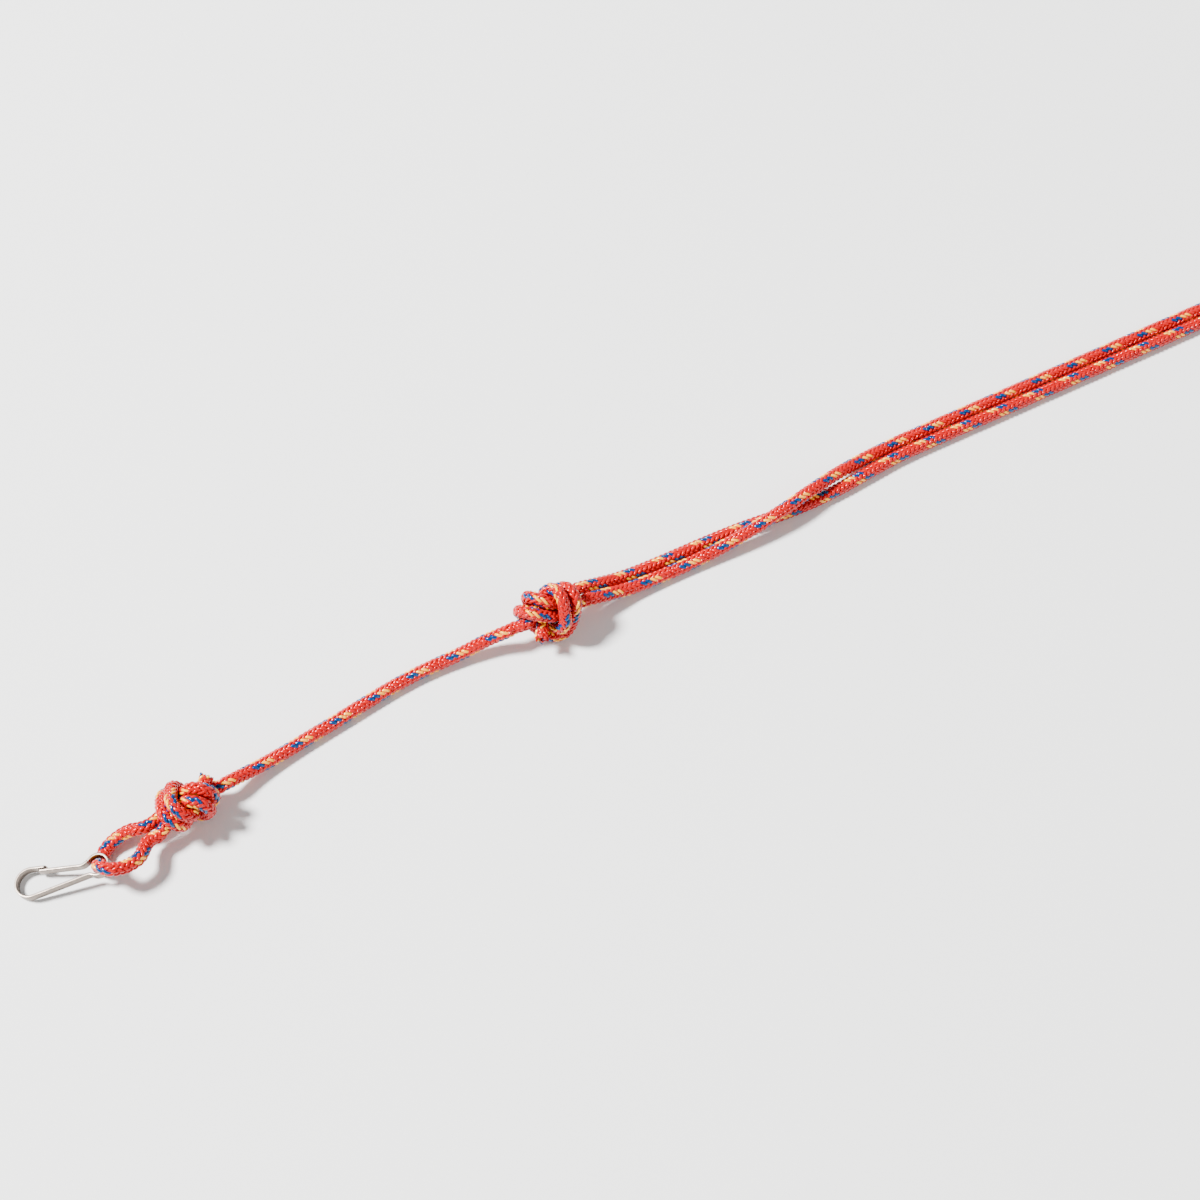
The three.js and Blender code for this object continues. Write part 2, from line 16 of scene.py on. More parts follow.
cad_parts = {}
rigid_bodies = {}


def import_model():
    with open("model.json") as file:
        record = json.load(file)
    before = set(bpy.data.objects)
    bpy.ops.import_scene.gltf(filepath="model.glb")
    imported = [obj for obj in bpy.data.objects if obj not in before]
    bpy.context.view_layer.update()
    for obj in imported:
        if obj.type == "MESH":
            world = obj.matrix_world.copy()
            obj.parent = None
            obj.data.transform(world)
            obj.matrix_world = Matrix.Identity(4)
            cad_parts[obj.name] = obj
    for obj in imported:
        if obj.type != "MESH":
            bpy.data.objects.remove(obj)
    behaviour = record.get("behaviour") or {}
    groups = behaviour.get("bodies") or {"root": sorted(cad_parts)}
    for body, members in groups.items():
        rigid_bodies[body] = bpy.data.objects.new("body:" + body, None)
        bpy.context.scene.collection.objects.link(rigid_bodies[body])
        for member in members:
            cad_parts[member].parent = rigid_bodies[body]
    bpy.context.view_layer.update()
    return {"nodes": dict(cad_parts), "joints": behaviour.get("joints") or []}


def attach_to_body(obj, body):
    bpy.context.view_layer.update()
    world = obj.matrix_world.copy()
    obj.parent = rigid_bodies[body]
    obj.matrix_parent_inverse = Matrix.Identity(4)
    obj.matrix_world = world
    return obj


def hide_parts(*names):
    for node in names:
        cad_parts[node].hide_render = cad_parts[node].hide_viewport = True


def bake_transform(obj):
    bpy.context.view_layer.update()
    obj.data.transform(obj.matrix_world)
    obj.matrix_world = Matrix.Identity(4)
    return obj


MM = 0.001

# Braid: eight yarns wind each way round the cord, two over and two under
YARNS_EACH_WAY = 8
LAY = 15.6 * MM  # cord length in which a yarn goes once round
YARN_WIDTH = 1.24 * MM
YELLOW_WIDTH = 1.02 * MM  # the yellow yarns are slimmer
YARN_THICKNESS = 0.8 * MM
YARN_GIRTH = 2 * (YARN_WIDTH + YARN_THICKNESS) * 0.8  # an oval's is about 0.8 of its box's
YARN_SIDES = 8
WEAVE_DEPTH = 0.36 * MM  # how far a yarn moves in and out of its mean radius
FLOAT_FLATNESS = 0.9  # how level a yarn stays between its dives
FLOAT_START = {1: 0.5, -1: 2.5}  # crossings from a yarn's start to the middle of its float, by hand
YARN_STEPS = 32  # rings of a yarn in one lay
# Yarns of each colour: hand (1 turns right, -1 left) and number
YARNS = {
    "red": [(1, k) for k in range(4, YARNS_EACH_WAY)] + [(-1, k) for k in range(YARNS_EACH_WAY)],
    "blue": [(1, 2), (1, 3)],
    "yellow": [(1, 0), (1, 1)],
}
CORE_PART = 0.38  # core radius as a part of the cord's
CORE_SIDES = 18
CORE_FLUTES = 6
FLUTE_DEPTH = 0.07  # as a part of the core's radius
CORE_GAP = 0.2 * MM  # between the core's stretches, hidden by the yarns
CORE_SET_BACK = 1.8 * MM  # how far the core ends inside the cut ends of the cover
CAD_CORE_CORNERS = 6  # corners of a ring of a CAD core rod
UNEVEN_CUT = 1.3 * MM  # most that a yarn stops short of a cut end
FRAY_LENGTH = 2.5 * MM
FRAY_SPREAD = 0.3  # how much wider the yarns stand at a cut end
PATH_STEP = 0.25 * MM

# Cord radius
CORD_RADIUS = 2.5 * MM
KNOT_RADIUS = 2.38 * MM
EYE_CORD_RADIUS = 2.15 * MM
EYE_SQUEEZE = 3.5 * MM  # length either way over which the eye squeezes the cord
RADIUS_EASE = 6 * MM  # length over which the radius changes beside a knot

# Clip, in its own frame: origin at the eye, hook towards -X, strip standing along Z
CLIP_HEADING = math.radians(-18)
CLIP_PITCH = math.radians(9.5)
STRIP_WIDTH = 3.2 * MM
STRIP_THICKNESS = 0.8 * MM
STRIP_EDGE = 0.17 * MM
STRIP_EDGE_ROUND = 0.95 * STRIP_EDGE
STRIP_TIP_ROUND = 0.9 * MM
STRIP_TIP_THINNING = 0.8  # what a rounded end loses on each face, as a part of the edge
STRIP_TIP_MARGIN = 0.02 * MM  # the rounding stops short, so that the very end isn't 0 wide
STRIP_STEP = 0.25 * MM
SMOOTHING_PASSES = 10  # round off the strip's bends
EYE_RADIUS = 3.7 * MM
EYE_ENDS = (0.75 - math.pi, math.pi - 0.62)  # where the eye's bend meets the back and the gate
HOOK_CENTRE_X = -23.3 * MM
HOOK_RADIUS = 5 * MM
ARM_SLOPE = math.radians(9)
LIP_LENGTH = 5.3 * MM
GATE_TIP_X = -20.3 * MM
GATE_HINGE_X = -5.2 * MM
GATE_CLEARANCE = 0.3 * MM
GATE_ROOT_X = -3.4 * MM  # where the eye's bend turns into the gate

# The braid lies so that a fleck row meets the camera along each straight run of cord: first and last
# piece, where one blue fleck is (X from the middle of the junction knot), its angle from facing
FIRST_COLUMN = math.radians(11.25)  # a row of right-hand floats, round from the carried normal
BLUE_LAG = 9 / 32 * LAY  # how far before that row's zero the blue yarns cross it
RUNS = [
    ("lead_6", "lead_1", -66.8 * MM, 0),
    ("neck_crossing_out", "far_leg_4", 99.8 * MM, math.radians(5)),
    ("near_leg_4", "neck_crossing_back", 205.4 * MM, math.radians(40)),
]

# Camera, placed from the middle of the junction knot
VIEW_CENTRE = Vector((21.3 * MM, -0.5 * MM, 0))
VIEW_FROM = Vector((-192.5 * MM, -367.7 * MM, 736.1 * MM))
LENS_MM = 71.9
SENSOR_MM = 36

# Cord pieces in CAD and their bodies, from cut end to cut end
CORD_PIECES = (
    [("clip_knot_tail", "clip_knot"), ("clip_loop", "clip_loop"), ("clip_knot_lead", "clip_knot")]
    + [(f"lead_{k}", f"lead_{k}") for k in (6, 5, 4, 3, 2, 1)]
    + [("junction_lead", "junction_knot"), ("neck_start_out", "neck_start")]
    + [("neck_crossing_out", "neck_crossing")]
    + [(f"far_leg_{k}", f"far_leg_{k}") for k in (1, 2, 3, 4)]
    + [("far_leg_bight", "far_leg_bight"), ("near_leg_bight", "near_leg_bight")]
    + [(f"near_leg_{k}", f"near_leg_{k}") for k in (4, 3, 2, 1)]
    + [("neck_crossing_back", "neck_crossing"), ("neck_start_back", "neck_start")]
    + [("junction_tail", "junction_knot")]
)
KNOT_BODIES = ("clip_knot", "junction_knot")
# Length either way of a hinge that the stretch of cord spanning it takes
KNOT_BEND = 5.5 * MM
LEAD_BEND = 7 * MM
LEG_BEND = 8 * MM
BIGHT_BEND = 6 * MM  # the legs lie side by side there
SHORTEST_RIGID = 14 * MM

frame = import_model()
JOINTS = {frozenset((j["parent"], j["child"])): j for j in frame["joints"]}
rng = random.Random(7)


# ---- The cord's path ----


def ring_centres(node):
    """Centres of the rings of a CAD core rod, from one end cap to the other."""
    mesh = frame["nodes"][node].data
    corners, corner_of = shared_corners(mesh)
    links = [set() for _ in corners]
    flats = {}
    same_flat = 0.02 * MM
    for face in mesh.polygons:
        ids = [corner_of[v] for v in face.vertices]
        for a in ids:
            links[a].update(ids)
        height = round(face.normal.dot(face.center) / same_flat)
        flats.setdefault((*(round(c, 2) for c in face.normal), height), set()).update(ids)
    level, seen, centres = end_cap(flats.values(), corners), set(), []
    while level:
        centres.append(sum((corners[v] for v in level), Vector()) / len(level))
        seen |= level
        level = set().union(*(links[v] for v in level)) - seen
    return centres


def shared_corners(mesh):
    """The places of a mesh's vertices without repeats, and each vertex's index in them."""
    same_corner = 0.002 * MM
    number, corners, corner_of = {}, [], []
    for vertex in mesh.vertices:
        key = tuple(round(c / same_corner) for c in vertex.co)
        if key not in number:
            number[key] = len(corners)
            corners.append(vertex.co.copy())
        corner_of.append(number[key])
    return corners, corner_of


def end_cap(flats, corners):
    """The flat face with a ring's number of corners, all equally far from its middle."""
    unevenness = 1.02
    for ids in flats:
        middle = sum((corners[v] for v in ids), Vector()) / len(ids)
        reach = [(corners[v] - middle).length for v in ids]
        if len(ids) == CAD_CORE_CORNERS and max(reach) < unevenness * min(reach):
            return set(ids)
    raise ValueError("a core rod has no end cap")


def joined_rods():
    """The ring centres of all core rods, each list turned to start where the last one ended."""
    rods = [ring_centres(f"{name}_core") for name, _ in CORD_PIECES]
    second = rods[1][0], rods[1][-1]
    from_first, from_last = (
        min((rods[0][k] - end).length for end in second) for k in (0, -1)
    )
    if from_first < from_last:
        rods[0].reverse()
    for before, rod in zip(rods, rods[1:]):
        if (rod[-1] - before[-1]).length < (rod[0] - before[-1]).length:
            rod.reverse()
    return rods


def spline(points, step):
    """Points every step or less along a centripetal Catmull-Rom curve, and each given point's index."""
    ends = [2 * points[0] - points[1], *points, 2 * points[-1] - points[-2]]
    out, index_of = [], []
    for p0, p1, p2, p3 in zip(ends, ends[1:], ends[2:], ends[3:]):
        k1, k2, k3 = (math.sqrt(np.linalg.norm(b - a)) for a, b in ((p0, p1), (p1, p2), (p2, p3)))
        m1 = (p2 - p1) + k2 * ((p1 - p0) / k1 - (p2 - p0) / (k1 + k2))
        m2 = (p2 - p1) + k2 * ((p3 - p2) / k3 - (p3 - p1) / (k2 + k3))
        count = max(1, math.ceil(np.linalg.norm(p2 - p1) / step))
        index_of.append(len(out))
        for t in np.arange(count) / count:
            a, b = 2 * t**3 - 3 * t**2 + 1, t**3 - 2 * t**2 + t
            c, d = -2 * t**3 + 3 * t**2, t**3 - t**2
            out.append(a * p1 + b * m1 + c * p2 + d * m2)
    index_of.append(len(out))
    out.append(points[-1])
    return np.array(out), index_of


class CordPath:
    """The middle line of the whole cord, with a frame that never twists and the cord's radius."""

    def __init__(self):
        rods = joined_rods()
        points = [np.array(p) for rod in rods for p in rod]
        self.place, index_of = spline(points, PATH_STEP)
        steps = np.linalg.norm(np.diff(self.place, axis=0), axis=1)
        self.s = np.concatenate([[0], np.cumsum(steps)])
        self.tangent = unit(np.gradient(self.place, axis=0))
        self.normal = carried(self.tangent)
        last = np.cumsum([len(rod) for rod in rods]) - 1
        starts = [self.s[index_of[k]] for k in [0, *(last[:-1] + 1)]]
        ends = [self.s[index_of[k]] for k in last]
        self.joins = [(a + b) / 2 for a, b in zip(ends, starts[1:])]
        self.length = self.s[-1]
        self.bounds = [0, *self.joins, self.length]
        self.radius = self.radii()
        self.roll, self.shift = self.braid_marks()

    def radii(self):
        """Slimmer in the knots and in the clip's eye."""
        radius = np.full(len(self.s), CORD_RADIUS)
        for (_, body), start, end in zip(CORD_PIECES, self.bounds, self.bounds[1:]):
            if body in KNOT_BODIES:
                radius[(self.s >= start) & (self.s <= end)] = KNOT_RADIUS
        window = round(RADIUS_EASE / PATH_STEP)
        padded = np.pad(radius, window // 2, mode="edge")
        radius = np.convolve(padded, np.ones(window) / window, mode="same")
        radius = radius[window // 2:][:len(self.s)]
        eye = np.array(frame_joint("clip_loop", "clip")["pos_m"])
        near = np.exp(-(np.linalg.norm(self.place - eye, axis=1) / EYE_SQUEEZE) ** 2)
        return radius - (CORD_RADIUS - EYE_CORD_RADIUS) * near

    def braid_marks(self):
        """The braid's roll about the cord and shift along it, held on straight runs, eased between."""
        names = [name for name, _ in CORD_PIECES]
        rolls, shifts = [], []
        for first, last, x, off in RUNS:
            start = self.bounds[names.index(first)]
            end = self.bounds[names.index(last) + 1]
            run = np.flatnonzero((self.s >= start) & (self.s <= end))
            k = run[np.argmin(abs(self.place[run, 0] - KNOT.x - x))]
            view = np.array(KNOT + VIEW_FROM) - self.place[k]
            binormal = np.cross(self.tangent[k], self.normal[k])
            angle = math.atan2(view.dot(binormal), view.dot(self.normal[k])) + off - FIRST_COLUMN
            column = round(angle / (math.pi / 2))
            shift = LAY * column / 4 - BLUE_LAG - self.s[k]
            before = shifts[-1][2] if shifts else 0
            shift -= LAY * round((shift - before) / LAY)
            rolls.append((start, end, angle - column * math.pi / 2))
            shifts.append((start, end, shift))
        return eased(self.s, rolls), eased(self.s, shifts)

    def at(self, s):
        """Place, tangent, normal, binormal and radius at each given length along the cord."""
        place, tangent, normal = (
            np.stack([np.interp(s, self.s, column) for column in values.T], axis=1)
            for values in (self.place, self.tangent, self.normal)
        )
        tangent = unit(tangent)
        normal = unit(normal - tangent * np.sum(normal * tangent, axis=1, keepdims=True))
        return place, tangent, normal, np.cross(tangent, normal), np.interp(s, self.s, self.radius)


def eased(s, marks):
    """A value at each length s: held over each mark (start, end, value), eased between marks."""
    out = np.full(len(s), marks[0][2])
    for (_, end, a), (start, _, b) in zip(marks, marks[1:]):
        t = np.clip((s - end) / (start - end), 0, 1)
        out += (b - a) * t * t * (3 - 2 * t)
    return out


def unit(vectors):
    return vectors / np.linalg.norm(vectors, axis=1, keepdims=True)


def carried(tangents):
    """A normal moved along the curve without twisting."""
    normal = np.cross(tangents[0], [0, 0, 1.0])
    out = []
    for tangent in tangents:
        normal = normal - tangent * normal.dot(tangent)
        normal = normal / np.linalg.norm(normal)
        out.append(normal)
    return np.array(out)


def frame_joint(parent, child):
    return JOINTS[frozenset((parent, child))]


# ---- Meshes ----


def swept_mesh(name, strands, lengths, widths):
    """One mesh of closed strands. strands: places [strand, ring, side, xyz]; the uv map holds
    millimetres along (lengths) and around (widths) each strand."""
    count, rings, sides = strands.shape[:3]
    verts = strands.reshape(-1, 3)
    ring, side = np.meshgrid(np.arange(rings - 1), np.arange(sides), indexing="ij")
    after = (side + 1) % sides
    near, far = ring * sides, (ring + 1) * sides
    quads = np.stack([near + side, near + after, far + after, far + side], axis=-1).reshape(-1, 4)
    faces, uvs = [], []
    round_step = widths / sides
    for strand in range(count):
        base = strand * rings * sides
        faces += (quads + base).tolist()
        along = lengths[strand] / MM
        here, there = along[ring], along[ring + 1]
        u = np.stack([here, here, there, there], axis=-1).reshape(-1, 4)
        v = np.stack([side, side + 1, side + 1, side], axis=-1).reshape(-1, 4) * (round_step / MM)
        uvs.append(np.stack([u, v], axis=-1).reshape(-1, 2))
        faces.append([base + k for k in reversed(range(sides))])
        faces.append([base + (rings - 1) * sides + k for k in range(sides)])
        uvs.append(np.zeros((2 * sides, 2)))
    mesh = bpy.data.meshes.new(name)
    mesh.from_pydata(verts.tolist(), [], faces)
    uv = mesh.uv_layers.new(name="strand")
    uv.data.foreach_set("uv", np.concatenate(uvs).astype(np.float32).ravel())
    mesh.polygons.foreach_set("use_smooth", [len(face) == 4 for face in faces])
    mesh.update()
    obj = bpy.data.objects.new(name, mesh)
    bpy.context.scene.collection.objects.link(obj)
    return obj


def yarn_ends():
    """How far each yarn stops short of either cut end of the cord: cut yarns are never level."""
    keys = [yarn for group in YARNS.values() for yarn in group]
    return {key: (rng.uniform(0, UNEVEN_CUT), rng.uniform(0, UNEVEN_CUT)) for key in keys}


def yarn_strand(path, yarn, start, end, rings):
    """Rings of one yarn between two lengths along the cord."""
    hand, number = yarn
    first = max(start, ENDS[yarn][0])
    last = min(end, path.length - ENDS[yarn][1])
    s = np.linspace(first, last, rings)
    place, tangent, normal, binormal, radius = path.at(s)
    turns = hand * (s + np.interp(s, path.s, path.shift)) / LAY + number / YARNS_EACH_WAY
    turn = 2 * np.pi * turns + np.interp(s, path.s, path.roll)
    crossings = 2 * YARNS_EACH_WAY * turns
    over = np.cos(2 * np.pi * (crossings - FLOAT_START[hand]) / 4)
    over = np.tanh(FLOAT_FLATNESS * over) / math.tanh(FLOAT_FLATNESS)
    scale = radius / CORD_RADIUS
    out_from = radius + scale * (WEAVE_DEPTH * (over - 1) - YARN_THICKNESS / 2)
    out_from = out_from * (1 + FRAY_SPREAD * fray(path, s))
    outward = normal * np.cos(turn)[:, None] + binormal * np.sin(turn)[:, None]
    middle = place + outward * out_from[:, None]
    along = unit(np.gradient(middle, axis=0))
    across = unit(np.cross(along, outward))
    up = np.cross(across, along)
    angle = 2 * np.pi * np.arange(YARN_SIDES) / YARN_SIDES
    width = YELLOW_WIDTH if yarn in YARNS["yellow"] else YARN_WIDTH
    flat = (width / 2) * np.outer(scale, np.cos(angle))
    thick = (YARN_THICKNESS / 2) * np.outer(scale, np.sin(angle))
    rings_out = middle[:, None] + across[:, None] * flat[..., None] + up[:, None] * thick[..., None]
    return rings_out, s


def fray(path, s):
    """Rises from 0 to 1 over the last millimetres before either cut end."""
    near = np.minimum(s, path.length - s)
    return np.clip(1 - near / FRAY_LENGTH, 0, 1) ** 2


def core_strand(path, start, end, rings):
    """The filament core: a rod with shallow twisted flutes."""
    first = max(start + CORE_GAP / 2, CORE_SET_BACK)
    last = min(end - CORE_GAP / 2, path.length - CORE_SET_BACK)
    s = np.linspace(first, last, rings)
    place, _, normal, binormal, radius = path.at(s)
    angle = 2 * np.pi * np.arange(CORE_SIDES) / CORE_SIDES
    turned = angle[None] + (2 * np.pi * s / LAY)[:, None]
    reach = CORE_PART * radius[:, None] * (1 + FLUTE_DEPTH * np.cos(CORE_FLUTES * angle))
    cos, sin = np.cos(turned)[..., None], np.sin(turned)[..., None]
    outward = normal[:, None] * cos + binormal[:, None] * sin
    return place[:, None] + outward * reach[..., None], s


# ---- Cord pieces ----


def bend_length(body, other):
    """Length either way of the hinge between two bodies that the stretch spanning it takes."""
    if body in KNOT_BODIES or other in KNOT_BODIES:
        return KNOT_BEND
    if "bight" in body or "bight" in other:
        return BIGHT_BEND
    return LEG_BEND if "leg" in body + other else LEAD_BEND


def cord_stretches(path):
    """(name, start, end, body, next body, hinge length) of every stretch of cord."""
    bodies = [body for _, body in CORD_PIECES]
    held = []
    for k, body in enumerate(bodies):
        start, end = path.bounds[k], path.bounds[k + 1]
        if k > 0 and jointed(bodies[k - 1], body):
            start += bend_length(bodies[k - 1], body)
        if k + 1 < len(bodies) and jointed(body, bodies[k + 1]):
            end -= bend_length(body, bodies[k + 1])
        if 0 < k < len(bodies) - 1 and end - start < SHORTEST_RIGID and "bight" not in body:
            start = end = (path.bounds[k] + path.bounds[k + 1]) / 2
        held.append((start, end))
    out = []
    for k, (name, body) in enumerate(CORD_PIECES):
        start, end = held[k]
        if end > start:
            out.append((name, start, end, body, None, None))
        if k + 1 < len(bodies) and jointed(body, bodies[k + 1]):
            out.append((f"{name}_bend", end, held[k + 1][0], body, bodies[k + 1], path.joins[k]))
    return out


def jointed(body, other):
    return frozenset((body, other)) in JOINTS


def attach(path, obj, body, other, hinge):
    """Rides on its body, or, across the hinge from body to other, stays fixed in place."""
    if other is None:
        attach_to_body(obj, body)
        return
    place, tangent, *_ = path.at(np.array([hinge]))
    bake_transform(obj)


def stretch_meshes(path, name, start, end):
    """A mesh for each colour of yarn and one for the core, between two lengths of the cord."""
    step = LAY / YARN_STEPS
    rings = max(3, math.ceil((end - start) / step) + 1)
    core_girth = 2 * math.pi * CORD_RADIUS * CORE_PART
    made = {}
    for colour, yarns in YARNS.items():
        strands, lengths = zip(*(yarn_strand(path, yarn, start, end, rings) for yarn in yarns))
        piece = f"{name}_{colour}_yarns"
        made[colour] = swept_mesh(piece, np.array(strands), lengths, YARN_GIRTH)
    strand, lengths = core_strand(path, start, end, max(3, rings // 2))
    made["core"] = swept_mesh(f"{name}_filaments", strand[None], [lengths], core_girth)
    return made


def make_cord(path, materials):
    """All the cord's stretches. The one at each CAD piece's middle is found, and the piece's cover and
    core are hidden.
    """
    pieces = []
    for name, start, end, body, other, hinge in cord_stretches(path):
        made = stretch_meshes(path, name, start, end)
        for kind, obj in made.items():
            obj.data.materials.append(materials[kind])
            attach(path, obj, body, other, hinge)
        pieces.append((end, made))
    for k, (name, _) in enumerate(CORD_PIECES):
        middle = (path.bounds[k] + path.bounds[k + 1]) / 2
        made = next(made for end, made in pieces if end > middle)
        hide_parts(f"{name}_cover")
        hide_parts(f"{name}_core")


# ---- Clip ----


def arc(centre_x, radius, start, end, count=40):
    """Points of a circle round a point of the clip's axis."""
    angles = np.linspace(start, end, count)
    return [(centre_x + radius * math.cos(a), radius * math.sin(a)) for a in angles]


def lip_y(x):
    """Height of the lip's middle line above the clip's axis."""
    top_x = HOOK_CENTRE_X + HOOK_RADIUS * math.sin(ARM_SLOPE)
    return HOOK_RADIUS * math.cos(ARM_SLOPE) - (x - top_x) * math.tan(ARM_SLOPE)


def gate_y(x):
    """Height of the gate's middle line, inside the lip."""
    return lip_y(x) - STRIP_THICKNESS - GATE_CLEARANCE


def strip_line():
    """The whole bent strip's middle line: lip, hook, back, eye and gate."""
    lip_end = HOOK_CENTRE_X + HOOK_RADIUS * math.sin(ARM_SLOPE) + LIP_LENGTH
    hook = arc(HOOK_CENTRE_X, HOOK_RADIUS, math.pi / 2 - ARM_SLOPE, 1.5 * math.pi + ARM_SLOPE)
    eye = arc(0, EYE_RADIUS, *EYE_ENDS)
    gate = [(x, gate_y(x)) for x in (GATE_HINGE_X, GATE_TIP_X)]
    corners = [(lip_end, lip_y(lip_end)), *hook, *eye, *gate]
    line = evenly(np.array(corners), STRIP_STEP)
    for _ in range(SMOOTHING_PASSES):
        line[1:-1] = (line[:-2] + 2 * line[1:-1] + line[2:]) / 4
    return line


def evenly(points, step):
    """Points every step or less along the straight lines between the given ones."""
    lengths = lengths_along(points)
    s = np.linspace(0, lengths[-1], math.ceil(lengths[-1] / step) + 1)
    return np.stack([np.interp(s, lengths, column) for column in points.T], axis=1)


def lengths_along(points):
    steps = np.linalg.norm(np.diff(points, axis=0), axis=1)
    return np.concatenate([[0], np.cumsum(steps)])


def strip_section(half_thick, half_wide, edge):
    """Corners of a rounded oblong, thickness along the first axis."""
    out = []
    for cx, cy, turn in ((1, 1, 0), (-1, 1, 1), (-1, -1, 2), (1, -1, 3)):
        for k in range(4):
            a = (turn + k / 3) * math.pi / 2
            across = cx * (half_thick - edge) + edge * math.cos(a)
            up = cy * (half_wide - edge) + edge * math.sin(a)
            out.append((across, up))
    return np.array(out)


def strip_piece(name, line, round_start, round_end):
    """A solid strip along a line in the clip's plane; a rounded end has its corners taken off."""
    lengths = lengths_along(line)
    along = unit(np.gradient(line, axis=0))
    rings = []
    for (x, y), (ax, ay), s in zip(line, along, lengths):
        reach = min(s if round_start else math.inf, lengths[-1] - s if round_end else math.inf)
        section = strip_section(*strip_halves(reach), STRIP_EDGE_ROUND)
        rings.append([(x - t * ay, y + t * ax, w) for t, w in section])
    verts = np.array(rings)
    matrix = np.array(CLIP_FRAME)
    verts = verts @ matrix[:3, :3].T + matrix[:3, 3]
    around = 2 * (STRIP_WIDTH + STRIP_THICKNESS)
    return swept_mesh(name, verts[None, :, ::-1], [lengths], around)


def strip_halves(reach):
    """Half thickness and half width of the strip, this far from a rounded end."""
    corner = STRIP_TIP_ROUND
    short = max(0, corner - reach - STRIP_TIP_MARGIN)
    taken = corner - math.sqrt(corner**2 - short**2)
    thin = max(0, STRIP_EDGE - reach) * STRIP_TIP_THINNING
    return STRIP_THICKNESS / 2 - thin, STRIP_WIDTH / 2 - taken


def clip_frame_matrix():
    """The clip's own frame, placed at its eye."""
    eye = Vector(frame_joint("clip_loop", "clip")["pos_m"])
    turn = Matrix.Rotation(CLIP_HEADING, 4, "Z") @ Matrix.Rotation(-CLIP_PITCH, 4, "Y")
    return Matrix.Translation(eye) @ turn


def make_clip(materials):
    """The bent strip, which rides on the clip, and its gate, cut off where it leaves the eye and fixed
    in place.
    """
    line = strip_line()
    root = max(k for k in range(len(line)) if line[k][0] > GATE_ROOT_X)
    bent = strip_piece("clip_strip", line[: root + 1], True, False)
    gate = strip_piece("gate_strip", line[root:], False, True)
    for obj, material, slot in ((bent, "strip", "clip_steel"), (gate, "gate", "gate_steel")):
        obj.data.materials.append(materials[material])
    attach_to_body(bent, "clip")
    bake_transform(gate)
    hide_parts("clip_frame")
    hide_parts("clip_gate")


# ---- Materials ----


def shader(name, colour, **values):
    """A Principled material; values are its inputs by name, in lower case with underscores."""
    material = bpy.data.materials.new(name)
    material.use_nodes = True
    nodes = material.node_tree.nodes
    principled = nodes["Principled BSDF"]
    principled.inputs["Base Color"].default_value = (*colour, 1)
    for key, value in values.items():
        principled.inputs[key.replace("_", " ").title()].default_value = value
    return material, nodes, material.node_tree.links.new, principled


def strand_noise(nodes, link, scale_along, scale_across, detail=2):
    """Noise stretched along a strand, in millimetres of its uv map."""
    uv = nodes.new("ShaderNodeUVMap")
    uv.uv_map = "strand"
    mapping = nodes.new("ShaderNodeMapping")
    mapping.inputs["Scale"].default_value = (scale_along, scale_across, 1)
    noise = nodes.new("ShaderNodeTexNoise")
    noise.inputs["Scale"].default_value = 1
    noise.inputs["Detail"].default_value = detail
    link(uv.outputs["UV"], mapping.inputs["Vector"])
    link(mapping.outputs["Vector"], noise.inputs["Vector"])
    return noise.outputs["Fac"]


def add_bump(nodes, link, principled, height, depth, strength):
    bump = nodes.new("ShaderNodeBump")
    bump.inputs["Distance"].default_value = depth
    bump.inputs["Strength"].default_value = strength
    link(height, bump.inputs["Height"])
    link(bump.outputs["Normal"], principled.inputs["Normal"])


def vary(nodes, link, value, socket, low, high):
    """Drives a socket between low and high by a noise value, which is mostly near its middle."""
    spread = nodes.new("ShaderNodeMapRange")
    spread.inputs["From Min"].default_value = 0.3
    spread.inputs["From Max"].default_value = 0.7
    spread.inputs["To Min"].default_value = low
    spread.inputs["To Max"].default_value = high
    link(value, spread.inputs["Value"])
    link(spread.outputs["Result"], socket)


def along_strand(nodes, link, principled):
    """Turns the anisotropic highlight to run with the strand."""
    tangent = nodes.new("ShaderNodeTangent")
    tangent.direction_type = "UV_MAP"
    tangent.uv_map = "strand"
    link(tangent.outputs["Tangent"], principled.inputs["Tangent"])


def yarn_material(name, colour, gleam):
    """Glossy dyed filaments side by side: fine lengthwise ridges and highlights of the dye's tint."""
    material, nodes, link, principled = shader(name, colour, anisotropic=0.35)
    principled.inputs["Specular IOR Level"].default_value = 0.85
    principled.inputs["Specular Tint"].default_value = (*gleam, 1)
    along_strand(nodes, link, principled)
    add_bump(nodes, link, principled, strand_noise(nodes, link, 0.5, 9), 0.04 * MM, 0.6)
    vary(nodes, link, strand_noise(nodes, link, 0.3, 1.5), principled.inputs["Roughness"], 0.12, 0.2)
    return material


def steel_material(name, colour, roughness):
    """Satin nickel plate over a rolled strip: faint lengthwise lines and soft uneven gloss."""
    material, nodes, link, principled = shader(name, colour, metallic=1)
    add_bump(nodes, link, principled, strand_noise(nodes, link, 0.4, 14, 3), 0.01 * MM, 0.2)
    gloss = strand_noise(nodes, link, 0.5, 0.8)
    vary(nodes, link, gloss, principled.inputs["Roughness"], roughness * 0.7, roughness * 1.4)
    return material


def make_materials():
    return {
        "red": yarn_material("red_yarn", (0.46, 0.0, 0.002), (1, 0.3, 0.3)),
        "blue": yarn_material("blue_yarn", (0.0, 0.027, 0.12), (0.4, 0.75, 1)),
        "yellow": yarn_material("yellow_yarn", (0.95, 0.38, 0.016), (1, 0.85, 0.55)),
        "core": yarn_material("core_filament", (0.85, 0.82, 0.75), (1, 1, 1)),
        "strip": steel_material("nickel_strip", (0.21, 0.172, 0.146), 0.36),
        "gate": steel_material("nickel_gate", (0.23, 0.19, 0.162), 0.33),
    }


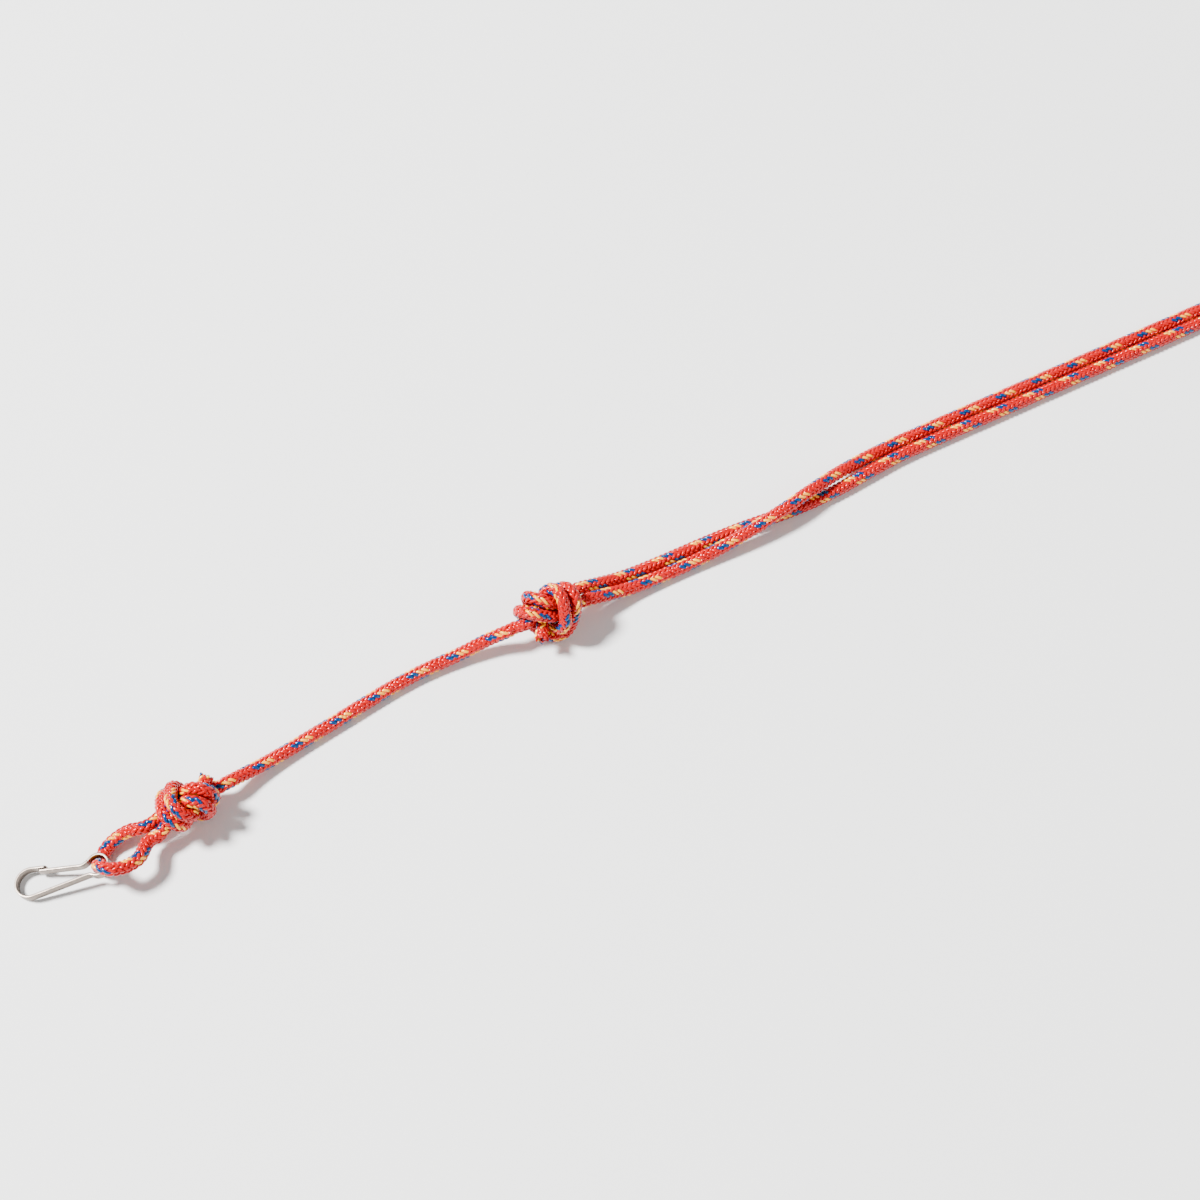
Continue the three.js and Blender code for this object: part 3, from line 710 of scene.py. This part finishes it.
# ---- Floor, light and camera ----


def make_floor():
    mesh = bpy.data.meshes.new("floor")
    half = 2
    corners = [(x * half, y * half, 0) for x, y in ((-1, -1), (1, -1), (1, 1), (-1, 1))]
    mesh.from_pydata(corners, [], [(0, 1, 2, 3)])
    floor = bpy.data.objects.new("floor", mesh)
    bpy.context.scene.collection.objects.link(floor)
    material, *_ = shader("floor", (0.9, 0.9, 0.89), roughness=0.8)
    mesh.materials.append(material)


def add_light(name, place, size, watts):
    """A round lamp turned to the middle of the object."""
    data = bpy.data.lights.new(name, "AREA")
    data.shape = "DISK"
    data.size = size
    data.energy = watts
    light = bpy.data.objects.new(name, data)
    light.location = place
    light.rotation_euler = (-Vector(place)).to_track_quat("-Z", "Y").to_euler()
    bpy.context.scene.collection.objects.link(light)


def make_light():
    world = bpy.data.worlds.new("studio")
    bpy.context.scene.world = world
    world.use_nodes = True
    background = world.node_tree.nodes["Background"]
    background.inputs["Color"].default_value = (0.97, 0.98, 1, 1)
    background.inputs["Strength"].default_value = 0.35
    add_light("key", (-2.0, 1.4, 3.0), 0.8, 620)
    add_light("fill", (2.0, -2.8, 2.8), 2.0, 64)


def make_camera():
    data = bpy.data.cameras.new("camera")
    data.lens = LENS_MM
    data.sensor_width = SENSOR_MM
    data.clip_start = 0.01
    camera = bpy.data.objects.new("camera", data)
    camera.location = KNOT + VIEW_FROM
    look = KNOT + VIEW_CENTRE - camera.location
    camera.rotation_euler = look.to_track_quat("-Z", "Y").to_euler()
    bpy.context.scene.collection.objects.link(camera)
    bpy.context.scene.camera = camera


def knot_middle():
    """The floor point under the middle of the junction knot."""
    ends = [Vector(frame_joint("junction_knot", other)["pos_m"]) for other in ("lead_1", "neck_start")]
    return ((ends[0] + ends[1]) / 2) * Vector((1, 1, 0))


KNOT = knot_middle()
CLIP_FRAME = clip_frame_matrix()
cord = CordPath()
ENDS = yarn_ends()
looks = make_materials()
make_cord(cord, looks)
make_clip(looks)
make_floor()
make_light()
make_camera()
